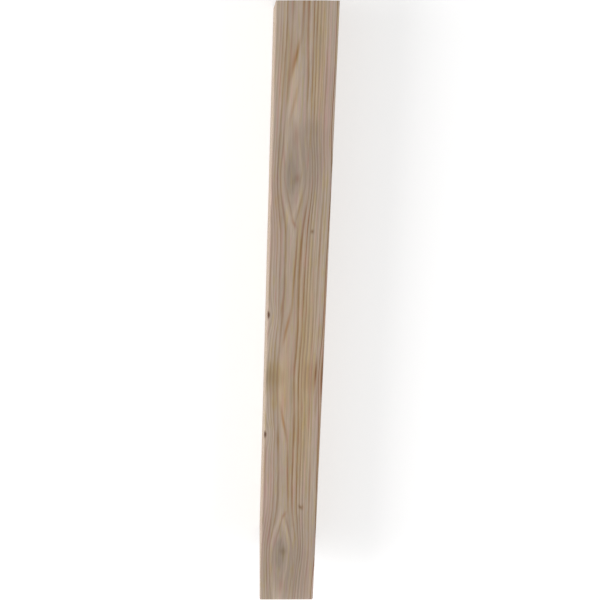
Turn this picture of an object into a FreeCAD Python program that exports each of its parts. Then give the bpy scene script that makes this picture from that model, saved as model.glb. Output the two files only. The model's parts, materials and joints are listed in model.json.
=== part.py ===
"""A wooden knee brace: one straight square timber that stiffens the corner between a post and a beam.

It is sawn from a single piece. Both ends are mitred, so that in use the lower end sits flat against the
upright post (the plumb cut) and the upper end sits flat under the level beam (the level cut). The two cuts
meet the outer face at its two ends, so the outer face is the long one and the inner face is the short one.

Here the brace lies as it would on a level floor: on its short inner face, with the long outer face on top.
X runs across the timber, Y along it, Z up. The beam end is towards -Y and the post end towards +Y.
The origin is on the floor, under the middle of the long face.
"""

import FreeCAD, Part
import math
import os

import Sketcher

# name: (value in millimetres, what it is)
DRIVING_SIZES = {
    "rise": (914.4, "height from the foot of the post cut to the beam"),
    "run": (914.4, "distance from the post to the outer end of the beam cut"),
    "width": (88.9, "the timber across, seen from the front"),
    "depth": (88.9, "the timber from its outer face to its inner face"),
    "arris": (2.0, "radius that eases the four long edges"),
}


def add_sizes(doc):
    """The spreadsheet that every feature takes its sizes from."""
    sheet = doc.addObject("Spreadsheet::Sheet", "sizes")
    for row, (alias, (value, meaning)) in enumerate(DRIVING_SIZES.items(), start=1):
        sheet.set(f"A{row}", meaning)
        sheet.set(f"B{row}", str(value))
        sheet.setAlias(f"B{row}", alias)
    doc.recompute()
    return sheet


def origin_plane(body, role):
    """One of the body's own three base planes."""
    return next(plane for plane in body.Origin.OriginFeatures if plane.Role == role)


def bind(sketch, name, constraint, expression):
    """Adds a named dimension to a sketch and ties it to the spreadsheet."""
    index = sketch.addConstraint(constraint)
    sketch.renameConstraint(index, name)
    sketch.setExpression(f"Constraints.{name}", expression)


def draw_side_profile(body, sizes):
    """The outline seen from the side: the long face on top, the short face below, and the two mitres."""
    sketch = body.newObject("Sketcher::SketchObject", "side_profile")
    sketch.AttachmentSupport = [(origin_plane(body, "YZ_Plane"), "")]
    sketch.MapMode = "FlatFace"

    half_long = math.hypot(sizes.rise, sizes.run) / 2
    beam_setback = sizes.depth * sizes.run / sizes.rise
    post_setback = sizes.depth * sizes.rise / sizes.run
    corners = [
        FreeCAD.Vector(-half_long, sizes.depth, 0),
        FreeCAD.Vector(half_long, sizes.depth, 0),
        FreeCAD.Vector(half_long - post_setback, 0, 0),
        FreeCAD.Vector(-half_long + beam_setback, 0, 0),
    ]
    outer_face, post_cut, inner_face, beam_cut = (
        sketch.addGeometry(Part.LineSegment(start, end))
        for start, end in zip(corners, corners[1:] + corners[:1])
    )

    start, end = 1, 2
    x_axis, y_axis, origin = -1, -2, 1
    for line, following in (
        (outer_face, post_cut),
        (post_cut, inner_face),
        (inner_face, beam_cut),
        (beam_cut, outer_face),
    ):
        sketch.addConstraint(Sketcher.Constraint("Coincident", line, end, following, start))
    sketch.addConstraint(Sketcher.Constraint("PointOnObject", inner_face, start, x_axis))
    sketch.addConstraint(Sketcher.Constraint("PointOnObject", inner_face, end, x_axis))
    sketch.addConstraint(
        Sketcher.Constraint("Symmetric", outer_face, start, outer_face, end, y_axis)
    )
    bind(
        sketch,
        "outer_length",
        Sketcher.Constraint("DistanceX", outer_face, start, outer_face, end, 2 * half_long),
        "sqrt(sizes.rise ^ 2 + sizes.run ^ 2)",
    )
    bind(
        sketch,
        "thickness",
        Sketcher.Constraint("DistanceY", x_axis, origin, outer_face, start, sizes.depth),
        "sizes.depth",
    )
    bind(
        sketch,
        "beam_setback",
        Sketcher.Constraint("DistanceX", outer_face, start, inner_face, end, beam_setback),
        "sizes.depth * sizes.run / sizes.rise",
    )
    bind(
        sketch,
        "post_setback",
        Sketcher.Constraint("DistanceX", inner_face, start, outer_face, end, post_setback),
        "sizes.depth * sizes.rise / sizes.run",
    )
    return sketch


def long_edges(shape):
    """The names of the four edges that run the length of the timber."""
    names = []
    for number, edge in enumerate(shape.Edges, start=1):
        direction = edge.tangentAt(edge.FirstParameter)
        if abs(direction.y) > 0.999:
            names.append(f"Edge{number}")
    return names


def build_brace(doc, sizes):
    """The timber: its side profile padded to its width, with the long edges eased and the ends left sharp."""
    body = doc.addObject("PartDesign::Body", "brace")
    body.Label = "brace"

    sawn = body.newObject("PartDesign::Pad", "sawn_timber")
    sawn.Profile = draw_side_profile(body, sizes)
    sawn.SideType = "Symmetric"
    sawn.setExpression("Length", "sizes.width")
    doc.recompute()

    eased = body.newObject("PartDesign::Fillet", "eased_arrises")
    eased.Base = (sawn, long_edges(sawn.Shape))
    eased.setExpression("Radius", "sizes.arris")
    body.Tip = eased
    return body


def check(doc, pieces):
    """Stops the build on a failed feature or a shape that isn't one valid closed solid."""
    for item in doc.Objects:
        if "Invalid" in item.State or "Error" in item.State:
            raise RuntimeError(f"{item.Name} failed: {item.State}")
    for piece in pieces:
        shape = piece.Shape
        if shape.isNull() or not shape.isValid() or len(shape.Solids) != 1:
            raise RuntimeError(f"{piece.Label} isn't one valid solid")


def main():
    doc = FreeCAD.newDocument("knee_brace")
    sizes = add_sizes(doc)
    pieces = [build_brace(doc, sizes)]
    doc.recompute()
    check(doc, pieces)

    os.makedirs("parts", exist_ok=True)
    for piece in pieces:
        piece.Shape.exportStep(f"parts/{piece.Label}.step")
        box = piece.Shape.BoundBox
        print(f"{piece.Label}: {box.XLength:.2f} x {box.YLength:.2f} x {box.ZLength:.2f} mm")


main()
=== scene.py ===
"""A wooden knee brace: one planed softwood timber, mitred at both ends, lying on its short inner face.

The timber is one modelled piece with its growth rings in its surface as well as in its colour. The rings are a
solid pattern round a pith that wanders down the middle of the timber, so the grain on every face and both cuts
belongs together. The colour adds a small wander of its own, which the surface doesn't follow. Places in the wood
are in millimetres: across from the left face, along from the beam end of the outer face, and below that face.
"""

import json
import math

import bpy
import numpy as np
from mathutils import Matrix, Vector


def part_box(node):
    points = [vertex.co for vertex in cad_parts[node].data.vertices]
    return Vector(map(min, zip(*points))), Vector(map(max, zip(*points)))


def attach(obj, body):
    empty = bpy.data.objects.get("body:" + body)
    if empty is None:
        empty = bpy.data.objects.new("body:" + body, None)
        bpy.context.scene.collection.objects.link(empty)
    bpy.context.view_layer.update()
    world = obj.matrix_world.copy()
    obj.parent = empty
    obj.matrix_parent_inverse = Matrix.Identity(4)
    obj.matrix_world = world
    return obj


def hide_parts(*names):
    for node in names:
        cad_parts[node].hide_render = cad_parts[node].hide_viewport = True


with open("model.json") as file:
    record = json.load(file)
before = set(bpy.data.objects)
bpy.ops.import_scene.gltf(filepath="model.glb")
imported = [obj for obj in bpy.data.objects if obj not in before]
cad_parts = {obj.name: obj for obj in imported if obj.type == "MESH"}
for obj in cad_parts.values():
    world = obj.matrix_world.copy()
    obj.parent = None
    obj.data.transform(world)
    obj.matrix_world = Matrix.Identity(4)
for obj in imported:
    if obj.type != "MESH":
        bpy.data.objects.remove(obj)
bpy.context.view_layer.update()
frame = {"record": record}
LOW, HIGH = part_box("brace")
CUTS = {mount["name"]: mount for mount in frame["record"]["mounts"]}

MM = 0.001
ARRIS = 2.0
ARRIS_STEPS = 4

# The pith: how far it lies across from the left face and below the outer face, away from its bends.
PITH_ACROSS = 35.3
PITH_DEPTH = 50.0
# (place along, how far it bends to the right, half the bend's length)
PITH_BENDS = (
    (240, -2.0, 80),
    (460, 0.8, 60),
    (754, -4.0, 90),
    (1048, 0.8, 60),
    (1268, -2.0, 80),
)
# (place along, how far it rises towards the outer face, half the rise's length)
PITH_RISES = (
    (150, 0.35, 60),
    (290, 1.5, 120),
    (345, 2.0, 62),
    (690, 0.5, 80),
    (818, 0.5, 80),
    (1163, 2.0, 62),
    (1218, 1.5, 120),
)

# Growth rings by the radius at which each one ends and how dark its latewood is, from the pith outwards.
HEART_RINGS = (4.0, 46.6)
HEART_RING_WIDTH = 2.7
OUTER_RINGS = (
    (49.35, 0.15),
    (51.6, 0.90),
    (53.6, 1.00),
    (55.6, 0.80),
    (57.5, 0.40),
    (59.9, 0.40),
    (64.1, 0.60),
    (66.5, 0.25),
    (71.5, 1.00),
    (75.0, 0.60),
)
CHART_REACH = 80.0
CHART_END = 0.3
# Each ring's latewood is this share of the ring, and no wider than this
LATE_SHARE = 0.42
LATE_WIDEST = 1.05
# How the darkness rises and falls over the latewood: (latewood widths past the ring's end, share of its darkness)
LATE_PROFILE = ((-2.0, 0.0), (-1.0, 0.25), (-0.45, 1.0), (-0.20, 1.0))
LATE_CLOSE = 0.05
EARLY_WOOD = 0.04


def hump(along, place, length):
    """1 at a place along the timber, falling smoothly to nothing over a length."""
    return exp(((along - place) / length) ** 2 * -1.0)


def pith(along):
    """Where the pith is at a place along the timber: across, and below the outer face."""
    across = PITH_ACROSS + sum(bend * hump(along, place, length) for place, bend, length in PITH_BENDS)
    rise = sum(height * hump(along, place, length) for place, height, length in PITH_RISES)
    return across, PITH_DEPTH - rise


# Pin knots at the left arris: (across, along, half width, half length)
PIN_KNOTS = (
    (0.6, 620, 3.6, 8.0),
    (0.4, 888, 3.6, 8.0),
)
# How far the rings bend round a knot, and how far across, along and below that is felt
KNOT_PUSH = 3.5
KNOT_REACH = (11.0, 26.0, 12.0)


def ring_radius(across, along, below):
    """Distance from the pith, which is what makes a growth ring, with the rings bent round the pin knots."""
    pith_across, pith_below = pith(along)
    radius = root((across - pith_across) ** 2 + (below - pith_below) ** 2)
    reach_across, reach_along, reach_below = KNOT_REACH
    for knot_across, knot_along, _, _ in PIN_KNOTS:
        push = hump(across, knot_across, reach_across) * hump(along, knot_along, reach_along)
        radius = radius + push * hump(below, 0.0, reach_below) * KNOT_PUSH
    return radius


def ring_chart():
    """Points of the curve from radius to latewood darkness: each ring darkens outwards and ends sharply."""
    first, last = HEART_RINGS
    count = round((last - first) / HEART_RING_WIDTH)
    heart = [
        (first + (last - first) * n / count + 0.5 * math.sin(7 * n), 0.55 + 0.25 * math.sin(5 * n))
        for n in range(count)
    ]
    points = [(0.0, 0.6)]
    inside = 0.0
    for radius, darkness in (*heart, (last, 0.5), *OUTER_RINGS):
        width = radius - inside
        late = min(LATE_SHARE * width, LATE_WIDEST)
        points += [(radius + step * late, share * darkness) for step, share in LATE_PROFILE]
        points.append((radius + LATE_CLOSE * late, EARLY_WOOD))
        inside = radius
    return points


# ---- sums that work on plain numbers and on a material's sockets alike ----


class Reading:
    """A value inside a material, which can be added, multiplied and so on like a number."""

    def __init__(self, tree, socket):
        self.tree = tree
        self.socket = socket

    def maths(self, operation, *others):
        node = self.tree.nodes.new("ShaderNodeMath")
        node.operation = operation
        for slot, value in zip(node.inputs, (self, *others)):
            plug(self.tree, value, slot)
        return Reading(self.tree, node.outputs[0])

    def __add__(self, other):
        return self.maths("ADD", other)

    def __radd__(self, other):
        return self.maths("ADD", other)

    def __sub__(self, other):
        return self.maths("SUBTRACT", other)

    def __rsub__(self, other):
        return self.maths("MULTIPLY_ADD", -1.0, other)

    def __mul__(self, other):
        return self.maths("MULTIPLY", other)

    def __rmul__(self, other):
        return self.maths("MULTIPLY", other)

    def __truediv__(self, other):
        return self.maths("DIVIDE", other)

    def __pow__(self, power):
        return self * self if power == 2 else self.maths("POWER", power)


def plug(tree, value, socket):
    """Sets a socket to a number or a colour, or joins it to a reading."""
    if isinstance(value, Reading):
        tree.links.new(value.socket, socket)
    else:
        socket.default_value = value


def exp(value):
    return value.maths("EXPONENT") if isinstance(value, Reading) else np.exp(value)


def root(value):
    return value.maths("SQRT") if isinstance(value, Reading) else np.sqrt(value)


# ---- the timber's shape ----


def deselect_all():
    bpy.ops.object.select_all(action="DESELECT")


def select_edges(obj, wanted):
    """In edit mode, selects just the edges whose two ends pass the test."""
    bpy.ops.mesh.select_mode(type="EDGE")
    bpy.ops.object.mode_set(mode="OBJECT")
    mesh = obj.data
    places = [vertex.co.copy() for vertex in mesh.vertices]
    for items in (mesh.vertices, mesh.edges, mesh.polygons):
        items.foreach_set("select", [False] * len(items))
    for edge in mesh.edges:
        edge.select = wanted(*(places[index] for index in edge.vertices))
    bpy.ops.object.mode_set(mode="EDIT")


def lengthwise(start, end):
    """True for an edge that runs along the timber."""
    run = end - start
    return abs(run.y) > 3 * max(abs(run.x), abs(run.z))


def share_along(start, end):
    """Where an edge's middle is, from -1 at the beam cut to 1 at the post cut."""
    middle = (start + end) / 2
    half = HIGH.y - (HIGH.z - middle.z)
    return middle.y / half


GRID = 1.0
ROWS = 100
KNOT_ROWS = 8
KNOT_ROW_REACH = 1.4 / ROWS * 2

KNOT_HOLLOW = 0.7
KNOT_HOLLOW_DEPTH = 3.0
SOFT_WOOD_HOLLOW = 0.06


def saw_timber():
    """A square bar cut off at both mitres, with its long edges eased."""
    bpy.ops.mesh.primitive_cube_add(size=1, location=(LOW + HIGH) / 2, scale=HIGH - LOW)
    timber = bpy.context.object
    timber.name = "timber"
    timber.data.name = "timber"
    bpy.ops.object.transform_apply(location=True, rotation=True, scale=True)
    bpy.ops.object.mode_set(mode="EDIT")
    for name in ("beam_cut", "post_cut"):
        bpy.ops.mesh.select_all(action="SELECT")
        bpy.ops.mesh.bisect(
            plane_co=CUTS[name]["pos_m"],
            plane_no=CUTS[name]["axis"],
            use_fill=True,
            clear_outer=True,
        )
    select_edges(timber, lengthwise)
    bpy.ops.mesh.bevel(offset=ARRIS * MM, segments=ARRIS_STEPS, affect="EDGES")
    return timber


def divide_timber(timber):
    """Lays a fine grid over every face and both cuts, with closer rows at the knots."""
    for axis, low, high in ((0, LOW.x, HIGH.x), (2, LOW.z, HIGH.z)):
        first, last = low + ARRIS * MM, high - ARRIS * MM
        count = round((last - first) / (GRID * MM))
        for n in range(1, count):
            place = Vector((0, 0, 0))
            place[axis] = first + (last - first) * n / count
            normal = Vector((0, 0, 0))
            normal[axis] = 1
            bpy.ops.mesh.select_all(action="SELECT")
            bpy.ops.mesh.bisect(plane_co=place, plane_no=normal)
    select_edges(timber, lengthwise)
    bpy.ops.mesh.subdivide(number_cuts=ROWS - 1)
    knot_shares = [(along * MM - HIGH.y) / HIGH.y for _, along, _, _ in PIN_KNOTS]
    select_edges(
        timber,
        lambda start, end: lengthwise(start, end)
        and any(abs(share_along(start, end) - share) < KNOT_ROW_REACH for share in knot_shares),
    )
    bpy.ops.mesh.subdivide(number_cuts=KNOT_ROWS - 1)
    bpy.ops.mesh.select_all(action="SELECT")
    bpy.ops.mesh.remove_doubles(threshold=0.00001)
    bpy.ops.mesh.normals_make_consistent(inside=False)
    bpy.ops.object.mode_set(mode="OBJECT")


def places_in_wood(obj):
    """Each vertex's place across, along and below, in millimetres."""
    points = np.empty(len(obj.data.vertices) * 3)
    obj.data.vertices.foreach_get("co", points)
    x, y, z = points.reshape(-1, 3).T / MM
    return HIGH.x / MM - x, y - LOW.y / MM, HIGH.z / MM - z


def wear_timber(timber):
    """Sinks the soft wood a little between the latewood lines, and the pin knots more, with a Displace."""
    across, along, below = places_in_wood(timber)
    radii, darkness = zip(*ring_chart())
    hollow = SOFT_WOOD_HOLLOW * (1 - np.interp(ring_radius(across, along, below), radii, darkness))
    for knot_across, knot_along, half_width, half_length in PIN_KNOTS:
        away = ((across - knot_across) / half_width) ** 2 + ((along - knot_along) / half_length) ** 2
        hollow += KNOT_HOLLOW * np.exp(-away - (below / KNOT_HOLLOW_DEPTH) ** 2)
    deepest = hollow.max()
    group = timber.vertex_groups.new(name="worn")
    for index, amount in enumerate(hollow / deepest):
        group.add([index], amount, "REPLACE")
    wear = timber.modifiers.new("wear", "DISPLACE")
    wear.vertex_group = "worn"
    wear.mid_level = 0.0
    wear.strength = -deepest * MM
    bpy.ops.object.modifier_apply(modifier="wear")
    timber.vertex_groups.clear()


SMOOTH_BELOW = math.radians(35)
BANDS = 5
CUT_BAND = 4


def lay_out_faces(timber):
    """A map in bands: one for each long face, drawn wide across the grain, and one shared by the two cuts."""
    mesh = timber.data
    while mesh.uv_layers:
        mesh.uv_layers.remove(mesh.uv_layers[0])
    layout = mesh.uv_layers.new(name="OFBake")
    spot = np.empty((len(layout.uv), 2))
    corners = np.array([vertex.co for vertex in mesh.vertices])
    for face in mesh.polygons:
        size = [abs(part) for part in face.normal]
        at = corners[[mesh.loops[index].vertex_index for index in face.loop_indices]]
        share = (at - np.array(LOW)) / np.array(HIGH - LOW)
        if size[1] > 0.5:
            band = CUT_BAND
            sideways = 0.02 + 0.46 * share[:, 0] + (0.5 if face.normal.y > 0 else 0.0)
            upwards = share[:, 2]
        elif size[2] >= size[0]:
            band = 0 if face.normal.z > 0 else 1
            sideways, upwards = share[:, 1], share[:, 0]
        else:
            band = 2 if face.normal.x > 0 else 3
            sideways, upwards = share[:, 1], share[:, 2]
        spot[list(face.loop_indices), 0] = 0.002 + 0.996 * sideways
        spot[list(face.loop_indices), 1] = (band + 0.01 + 0.98 * upwards) / BANDS
    layout.uv.foreach_set("vector", spot.astype(np.float32).ravel())


def make_timber():
    deselect_all()
    timber = saw_timber()
    divide_timber(timber)
    wear_timber(timber)
    lay_out_faces(timber)
    bpy.ops.object.shade_smooth_by_angle(angle=SMOOTH_BELOW)
    return timber


# ---- the wood ----

PALE_WOOD = (0.446, 0.358, 0.286)
LATE_WOOD = (0.245, 0.136, 0.056)
KNOT_WOOD = (0.090, 0.036, 0.014)
PINKISH = (1.05, 0.935, 0.99)
YELLOWISH = (1.00, 0.970, 0.77)

BROWN = (0.76, 0.56, 0.36)
DULL_BROWN = (0.76, 0.63, 0.52)
TAN = (0.98, 0.925, 0.77)
ROSE = (0.99, 0.91, 0.93)
OLIVE = (0.80, 0.76, 0.62)
GREY = (0.80, 0.785, 0.765)
SWIRL = (0.50, 0.38, 0.26)
RED = (0.86, 0.68, 0.62)

# Marks in the outer face, each a soft patch that tints the wood:
# (across, along, half width, half length, lean to the right for each millimetre along, strength, tint)
GRAIN_LINES = (
    (39.6, 520, 1.5, 88, -0.030, 1.00, BROWN),
    (39.6, 988, 1.5, 88, 0.030, 1.00, BROWN),
    (39.4, -5, 1.7, 62, -0.010, 1.00, BROWN),
    (2.6, 545, 1.3, 70, 0.0, 0.50, BROWN),
    (2.4, 935, 1.3, 50, 0.0, 0.50, BROWN),
    (87.0, 600, 1.8, 110, 0.0, 0.80, BROWN),
    (87.0, 908, 1.8, 110, 0.0, 0.80, BROWN),
    (75.6, 480, 1.4, 60, 0.0, 0.55, BROWN),
    (75.4, 1010, 1.4, 60, 0.0, 0.55, BROWN),
    (69.8, 830, 1.3, 55, 0.0, 0.60, BROWN),
    (69.8, 668, 1.3, 55, 0.0, 0.50, BROWN),
    (79.6, 660, 1.4, 40, 0.0, 0.60, BROWN),
    (79.6, 815, 1.4, 40, 0.0, 0.60, BROWN),
    (28.2, 388, 1.2, 40, 0.165, 0.75, DULL_BROWN),
    (44.2, 388, 1.2, 40, -0.165, 0.65, DULL_BROWN),
    (18.5, 300, 1.2, 45, 0.040, 0.50, DULL_BROWN),
    (53.0, 300, 1.2, 45, -0.040, 0.45, DULL_BROWN),
    (28.2, 1118, 1.2, 40, -0.165, 0.75, DULL_BROWN),
    (44.2, 1118, 1.2, 40, 0.165, 0.65, DULL_BROWN),
    (18.5, 1206, 1.2, 45, -0.040, 0.50, DULL_BROWN),
    (53.0, 1206, 1.2, 45, 0.040, 0.45, DULL_BROWN),
    (31.5, 350, 1.0, 30, 0.120, 0.35, DULL_BROWN),
    (42.0, 350, 1.0, 30, -0.100, 0.35, DULL_BROWN),
    (31.5, 1156, 1.0, 30, -0.120, 0.35, DULL_BROWN),
    (42.0, 1156, 1.0, 30, 0.100, 0.35, DULL_BROWN),
)
FLAMES = (
    (30.6, 104, 2.2, 32, -0.150, 1.00, BROWN),
    (27.0, 112, 3.2, 34, -0.150, 0.45, BROWN),
    (29.5, 194, 2.6, 36, -0.150, 0.55, BROWN),
    (30.4, 646, 2.2, 36, -0.140, 1.00, BROWN),
    (30.0, 690, 5.0, 40, 0.0, 0.30, BROWN),
    (30.4, 862, 2.2, 36, 0.140, 1.00, BROWN),
    (30.0, 816, 5.0, 40, 0.0, 0.30, BROWN),
    (34.5, 252, 4.0, 22, 0.0, 0.60, RED),
    (34.5, 1256, 4.0, 22, 0.0, 0.60, RED),
    (36.0, 428, 2.6, 9, 0.35, 0.90, RED),
    (36.0, 1080, 2.6, 9, -0.35, 0.90, RED),
    (38.5, 336, 3.0, 9, 0.0, 0.80, RED),
    (35.5, 340, 5.0, 9, 0.0, 0.55, GREY),
    (36.0, 1170, 5.5, 10, 0.0, 0.60, GREY),
    (36.0, 1170, 5.0, 8, 0.0, 0.35, DULL_BROWN),
    (21.5, 605, 2.0, 22, -0.06, 0.60, BROWN),
    (21.5, 902, 2.0, 22, 0.06, 0.60, BROWN),
    (77.3, 750, 2.4, 34, -0.02, 1.00, BROWN),
    (77.3, 746, 1.3, 26, -0.03, 0.75, SWIRL),
    (86.8, 752, 3.0, 50, 0.0, 1.00, BROWN),
    (9.0, 754, 12.0, 32, 0.0, 0.95, OLIVE),
    (27.0, 757, 9.0, 26, 0.0, 0.50, OLIVE),
    (5.0, 752, 4.0, 18, 0.0, 0.40, OLIVE),
    (86.6, 765, 1.2, 34, 0.0, 0.60, SWIRL),
    (63.3, 444, 2.2, 4.0, 0.0, 0.90, SWIRL),
    (61.5, 1061, 2.6, 5.0, 0.3, 0.90, SWIRL),
    (65.0, 1061, 2.0, 7.0, 0.0, 0.70, BROWN),
)
# The same for stains with squarer ends
STAINS = (
    (46.0, 288, 25.0, 68, 0.0, 0.50, GREY),
    (58.0, 238, 12.0, 16, 0.0, 0.30, GREY),
    (40.0, 330, 46.0, 100, 0.0, 0.50, GREY),
    (50.0, 754, 24.0, 300, 0.0, 0.45, TAN),
    (46.0, 1218, 25.0, 68, 0.0, 0.60, GREY),
    (40.0, 1172, 46.0, 105, 0.0, 0.50, GREY),
    (66.0, 756, 9.0, 34, 0.0, 0.35, BROWN),
    (64.0, 100, 8.0, 130, 0.0, 0.90, TAN),
    (61.0, 754, 12.0, 240, 0.0, 0.90, TAN),
    (23.0, 770, 16.0, 60, 0.0, 0.70, TAN),
    (18.0, 120, 14.0, 70, 0.0, 0.60, TAN),
    (8.0, 420, 8.0, 90, 0.0, 0.70, ROSE),
    (8.0, 1060, 8.0, 110, 0.0, 0.80, ROSE),
    (78.0, 200, 9.0, 120, 0.0, 0.80, ROSE),
    (78.0, 1230, 9.0, 90, 0.0, 0.60, ROSE),
)
MARK_DEPTH = 12.0
KNOT_DEPTH = 4.0
FIBRE_SHADE = 0.12
# Fine rings: their size in radius, how far across it takes for them to differ by one, and their shade
FINE_RING = 1.9
FINE_RING_DRIFT = 20.0
FINE_RING_SHADE = 0.30
FULL_HUE = 0.4
# The rings are paler left of the pith than right of it, and paler inside the timber than in the outer face
LEFT_RINGS = 0.68
LEFT_TO_RIGHT = (20.0, 38.0)
INNER_RINGS = 0.6
OUTER_TO_INNER = (6.0, 25.0)
QUIETENED = 0.8
# On the cuts: how far a face must tilt along the timber to count as one, and how pale the rays are
CUT_TILT = (0.4, 0.6)
RAY_SCALE = 60.0
RAY_STEP = (0.52, 0.70)
RAY_PALENESS = 0.30
ROUGHNESS = 0.68
LATEWOOD_POLISH = 0.10
SPECULAR = 0.35
BUMP_STRENGTH = 0.5
BUMP_DEPTH = 0.3
END_GRAIN = (0.86, 0.80, 0.74)
SAW_PITCH = 1.6
# Where the rings fade out in the outer face: (across, along, half width, half length)
QUIET_PLACES = (
    (34.0, 235, 19.0, 72),
    (34.0, 1272, 19.0, 72),
    (34.0, 745, 8.0, 60),
    (66.0, 754, 9.0, 200),
    (54.0, 310, 8.0, 70),
    (54.0, 1196, 8.0, 70),
)


def new_node(tree, kind, **settings):
    node = tree.nodes.new(kind)
    for name, value in settings.items():
        setattr(node, name, value)
    return node


# Noises in the wood: (size of the grain across, along and below, detail, seed, amount)
NOISES = {
    "wide wander": ((16, 240, 16), 2.0, 2, 0.45),
    "small wander": ((4, 60, 4), 2.0, 5, 0.30),
    "patches": ((7, 130, 7), 2.0, 8, 0.6),
    "fibres": ((0.7, 30, 0.7), 3.0, 11, 1.0),
    "streaks": ((2.2, 120, 2.2), 3.0, 13, 0.26),
    "short hue": ((3.6, 40, 3.6), 2.0, 17, 0.7),
    "long hue": ((5, 300, 5), 2.0, 19, 0.7),
    "saw": ((30, 30, 6), 2.0, 23, 1.5),
}


def noise(tree, place, name):
    """One of the noises, about 0 and up to its amount either way."""
    stretch, detail, seed, amount = NOISES[name]
    scaled = new_node(tree, "ShaderNodeMapping", vector_type="TEXTURE")
    tree.links.new(place, scaled.inputs["Vector"])
    scaled.inputs["Scale"].default_value = stretch
    scaled.inputs["Location"].default_value = [seed * 31 * size for size in stretch]
    source = new_node(tree, "ShaderNodeTexNoise")
    source.inputs["Scale"].default_value = 1.0
    source.inputs["Detail"].default_value = detail
    tree.links.new(scaled.outputs[0], source.inputs["Vector"])
    return (Reading(tree, source.outputs["Fac"]) - 0.5) * 2.0 * amount


def place_nodes(tree):
    """The place in the wood, as a vector in millimetres and as its three parts."""
    coordinates = new_node(tree, "ShaderNodeTexCoord")
    to_wood = new_node(tree, "ShaderNodeMapping")
    to_wood.inputs["Location"].default_value = (HIGH.x / MM, -LOW.y / MM, HIGH.z / MM)
    to_wood.inputs["Scale"].default_value = (-1 / MM, 1 / MM, -1 / MM)
    tree.links.new(coordinates.outputs["Object"], to_wood.inputs["Vector"])
    parts = new_node(tree, "ShaderNodeSeparateXYZ")
    tree.links.new(to_wood.outputs[0], parts.inputs[0])
    return to_wood.outputs[0], [Reading(tree, socket) for socket in parts.outputs]


def cut_end(tree):
    """1 on the two cuts, where the wood shows its end grain, and 0 on the long faces."""
    coordinates = new_node(tree, "ShaderNodeTexCoord")
    parts = new_node(tree, "ShaderNodeSeparateXYZ")
    tree.links.new(coordinates.outputs["Normal"], parts.inputs[0])
    return stepped(tree, Reading(tree, parts.outputs["Y"]).maths("ABSOLUTE"), *CUT_TILT)


def stepped(tree, value, start, end):
    """0 up to the start, 1 from the end, and smooth between."""
    step = new_node(tree, "ShaderNodeMapRange", interpolation_type="SMOOTHSTEP")
    plug(tree, value, step.inputs["Value"])
    step.inputs["From Min"].default_value = start
    step.inputs["From Max"].default_value = end
    return Reading(tree, step.outputs[0])


def chart_nodes(tree, radius):
    """Reads the ring chart at a radius."""
    chart = new_node(tree, "ShaderNodeFloatCurve")
    curve = chart.mapping.curves[0]
    points = [(radius_mm / CHART_REACH, darkness) for radius_mm, darkness in ring_chart()]
    curve.points[0].location = points[0]
    curve.points[1].location = (1.0, CHART_END)
    for point in points[1:]:
        curve.points.new(*point)
    for point in curve.points:
        point.handle_type = "VECTOR"
    chart.mapping.update()
    plug(tree, radius / CHART_REACH, chart.inputs["Value"])
    return Reading(tree, chart.outputs[0])


def blend(tree, amount, first, second, kind="MIX"):
    """Mixes two colours, each a plain colour or a reading."""
    mix = new_node(tree, "ShaderNodeMix", data_type="RGBA", blend_type=kind)
    plug(tree, amount, mix.inputs["Factor"])
    for value, slot in ((first, mix.inputs[6]), (second, mix.inputs[7])):
        plug(tree, value if isinstance(value, Reading) else (*value, 1.0), slot)
    return Reading(tree, mix.outputs[2])


def marked(tree, colour, marks, across, along, below, square=False):
    """Tints a colour with soft patches that reach a little way into the wood from the outer face."""
    sunk = (below / MARK_DEPTH) ** 2
    for mark_across, mark_along, half_width, half_length, lean, strength, tint in marks:
        aside = (across - along * lean - (mark_across - mark_along * lean)) / half_width
        ahead = (along - mark_along) / half_length
        away = (aside ** 2) ** 2 + (ahead ** 2) ** 2 if square else aside ** 2 + ahead ** 2
        colour = blend(tree, exp((away + sunk) * -1.0) * strength, colour, tint, "MULTIPLY")
    return colour


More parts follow.
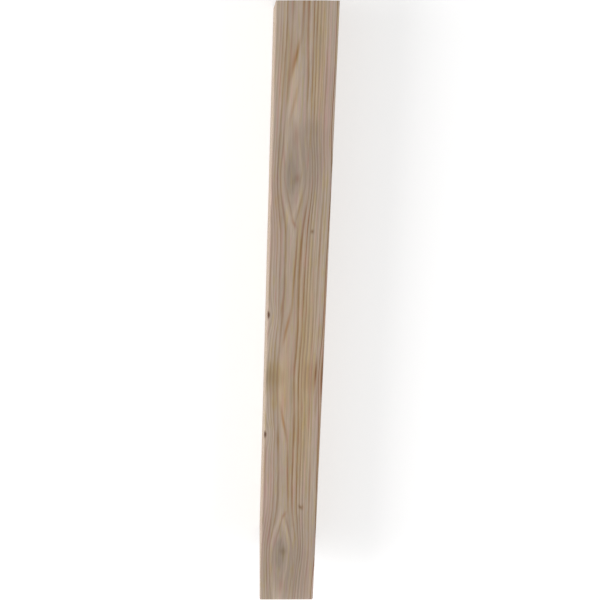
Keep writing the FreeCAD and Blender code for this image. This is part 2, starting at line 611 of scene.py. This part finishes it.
def fir_material():
    """Planed fir: pale early wood and brown latewood rings, fine fibres, and the marks in its outer face."""
    material = bpy.data.materials.new("planed_fir")
    material.use_nodes = True
    tree = material.node_tree
    shader = tree.nodes["Principled BSDF"]
    place, (across, along, below) = place_nodes(tree)

    wander = noise(tree, place, "wide wander") + noise(tree, place, "small wander")
    radius = ring_radius(across, along, below) + wander
    latewood = chart_nodes(tree, radius) * (noise(tree, place, "patches") + 1.0)
    latewood = latewood * (stepped(tree, across, *LEFT_TO_RIGHT) * (1 - LEFT_RINGS) + LEFT_RINGS)
    latewood = latewood * (stepped(tree, below, *OUTER_TO_INNER) * (INNER_RINGS - 1) + 1.0)
    for quiet_across, quiet_along, half_width, half_length in QUIET_PLACES:
        away = ((across - quiet_across) / half_width) ** 2 + ((along - quiet_along) / half_length) ** 2
        latewood = latewood * (exp((away + (below / MARK_DEPTH) ** 2) * -1.0) * -QUIETENED + 1.0)
    colour = blend(tree, latewood, PALE_WOOD, LATE_WOOD)

    fibres = noise(tree, place, "fibres")
    streaks = noise(tree, place, "streaks")
    lightness = fibres * FIBRE_SHADE + streaks + fine_rings(tree, radius, across) * FINE_RING_SHADE + 1.0
    colour = blend(tree, 1.0, colour, shade(tree, lightness), "MULTIPLY")
    hue = noise(tree, place, "short hue") + noise(tree, place, "long hue")
    colour = blend(tree, stepped(tree, hue, 0.0, FULL_HUE), colour, PINKISH, "MULTIPLY")
    colour = blend(tree, stepped(tree, hue * -1.0, 0.0, FULL_HUE), colour, YELLOWISH, "MULTIPLY")
    colour = marked(tree, colour, (*GRAIN_LINES, *FLAMES), across, along, below)
    colour = marked(tree, colour, STAINS, across, along, below, square=True)

    for knot_across, knot_along, half_width, half_length in PIN_KNOTS:
        away = (
            ((across - knot_across) / half_width) ** 2
            + ((along - knot_along) / half_length) ** 2
            + (below / KNOT_DEPTH) ** 2
        )
        colour = blend(tree, exp(away ** 2 * -1.0), colour, KNOT_WOOD)

    end = cut_end(tree)
    rays = ray_nodes(tree, across, along, below)
    colour = blend(tree, end, colour, END_GRAIN, "MULTIPLY")
    colour = blend(tree, end * rays * RAY_PALENESS, colour, PALE_WOOD)
    teeth = saw_nodes(tree, place, below)

    plug(tree, colour, shader.inputs["Base Color"])
    plug(tree, latewood * -LATEWOOD_POLISH + ROUGHNESS, shader.inputs["Roughness"])
    shader.inputs["Specular IOR Level"].default_value = SPECULAR

    bump = new_node(tree, "ShaderNodeBump")
    bump.inputs["Strength"].default_value = BUMP_STRENGTH
    bump.inputs["Distance"].default_value = BUMP_DEPTH * MM
    plug(tree, fibres * 0.5 + latewood * 0.4 + end * teeth * 0.5, bump.inputs["Height"])
    tree.links.new(bump.outputs[0], shader.inputs["Normal"])
    return material


def fine_rings(tree, radius, across):
    """Faint uneven lines between the rings, not the same on the two sides of the pith."""
    lines = new_node(tree, "ShaderNodeTexNoise", noise_dimensions="1D")
    lines.inputs["Scale"].default_value = 1.0
    lines.inputs["Detail"].default_value = 2.0
    plug(tree, radius / FINE_RING + across / FINE_RING_DRIFT, lines.inputs["W"])
    return (Reading(tree, lines.outputs["Fac"]) - 0.5) * 2.0


def ray_nodes(tree, across, along, below):
    """Fine pale rays that spread from the pith and show on the cuts."""
    pith_across, pith_below = pith(along)
    angle = (below - pith_below).maths("ARCTAN2", across - pith_across)
    spokes = new_node(tree, "ShaderNodeTexNoise", noise_dimensions="1D")
    spokes.inputs["Scale"].default_value = RAY_SCALE
    plug(tree, angle, spokes.inputs["W"])
    return stepped(tree, Reading(tree, spokes.outputs["Fac"]), *RAY_STEP)


def saw_nodes(tree, place, below):
    """The saw's marks across each cut, a few to the centimetre and none quite like the next."""
    uneven = noise(tree, place, "saw")
    return (below * (2 * math.pi / SAW_PITCH) + uneven).maths("SINE")


def shade(tree, value):
    """A grey of the given lightness."""
    grey = new_node(tree, "ShaderNodeCombineColor")
    for slot in grey.inputs:
        plug(tree, value, slot)
    return Reading(tree, grey.outputs[0])


# ---- the studio ----

CAMERA_PLACE = Vector((0.1801, -3.5431, 3.5777))
CAMERA_YAW = 0.0374
CAMERA_PITCH = 0.0007
CAMERA_LENS = 195.42
FLOOR_SIZE = 60.0
FLOOR_DROP = 0.5
FLOOR_GREY = 0.82
# How white the floor looks near the timber and how much whiter far off, and how far that takes, in metres
FLOOR_GLOW = 0.38
FAR_GLOW = 0.6
FAR_OFF = (0.6, 5.0)


def make_camera():
    """Looks 45 degrees down on the lying brace, with the beam end at the top."""
    level = Vector((0, 1, -1)).normalized()
    up = Vector((0, -1, -1)).normalized()
    right = Vector((-1, 0, 0))
    forward = math.sin(CAMERA_YAW) * right + math.cos(CAMERA_YAW) * level
    right = forward.cross(up).normalized()
    forward = (math.cos(CAMERA_PITCH) * forward + math.sin(CAMERA_PITCH) * up).normalized()
    up = right.cross(forward)
    camera = bpy.data.objects.new("camera", bpy.data.cameras.new("camera"))
    turn = Matrix((right, up, -forward)).transposed().to_4x4()
    camera.matrix_world = Matrix.Translation(CAMERA_PLACE) @ turn
    camera.data.lens = CAMERA_LENS
    camera.data.clip_end = 100.0
    bpy.context.collection.objects.link(camera)
    bpy.context.scene.camera = camera


def add_lamp(name, place, size, power):
    lamp = bpy.data.objects.new(name, bpy.data.lights.new(name, "AREA"))
    lamp.data.shape = "DISK"
    lamp.data.size = size
    lamp.data.energy = power
    lamp.location = place
    lamp.rotation_euler = (-Vector(place)).to_track_quat("-Z", "Y").to_euler()
    bpy.context.collection.objects.link(lamp)


def seen_directly(tree):
    """1 for rays from the camera, from a mirror or through glass, which see the backdrop as plain white."""
    path = new_node(tree, "ShaderNodeLightPath")
    names = ("Is Camera Ray", "Is Glossy Ray", "Is Transmission Ray")
    rays = [Reading(tree, path.outputs[name]) for name in names]
    return rays[0].maths("MAXIMUM", rays[1]).maths("MAXIMUM", rays[2])


def make_world(strength):
    world = bpy.data.worlds.new("studio")
    bpy.context.scene.world = world
    world.use_nodes = True
    tree = world.node_tree
    background = tree.nodes["Background"]
    background.inputs["Color"].default_value = (1, 1, 1, 1)
    plug(tree, seen_directly(tree) * (1 - strength) + strength, background.inputs["Strength"])


def make_floor():
    bpy.ops.mesh.primitive_plane_add(size=FLOOR_SIZE, location=(0, 0, -FLOOR_DROP * MM))
    floor = bpy.context.object
    floor.name = "floor"
    material = bpy.data.materials.new("pale_floor")
    material.use_nodes = True
    tree = material.node_tree
    shader = tree.nodes["Principled BSDF"]
    shader.inputs["Base Color"].default_value = (FLOOR_GREY, FLOOR_GREY, FLOOR_GREY, 1)
    shader.inputs["Roughness"].default_value = 1.0
    shader.inputs["Specular IOR Level"].default_value = 0.0
    shader.inputs["Emission Color"].default_value = (1, 1, 1, 1)
    coordinates = new_node(tree, "ShaderNodeTexCoord")
    away = new_node(tree, "ShaderNodeVectorMath", operation="LENGTH")
    tree.links.new(coordinates.outputs["Object"], away.inputs[0])
    far = stepped(tree, Reading(tree, away.outputs["Value"]), *FAR_OFF)
    plug(tree, seen_directly(tree) * (far * FAR_GLOW + FLOOR_GLOW), shader.inputs["Emission Strength"])
    floor.data.materials.append(material)


timber = make_timber()
timber.data.materials.append(fir_material())
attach(timber, "root")
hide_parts("brace")

make_floor()
make_world(0.475)
add_lamp("key", (5.0, -0.4, 1.8), 5.0, 275)
add_lamp("fill", (-3.5, 1.5, 2.5), 3.0, 62)
make_camera()

bpy.context.scene.view_settings.view_transform = "Standard"
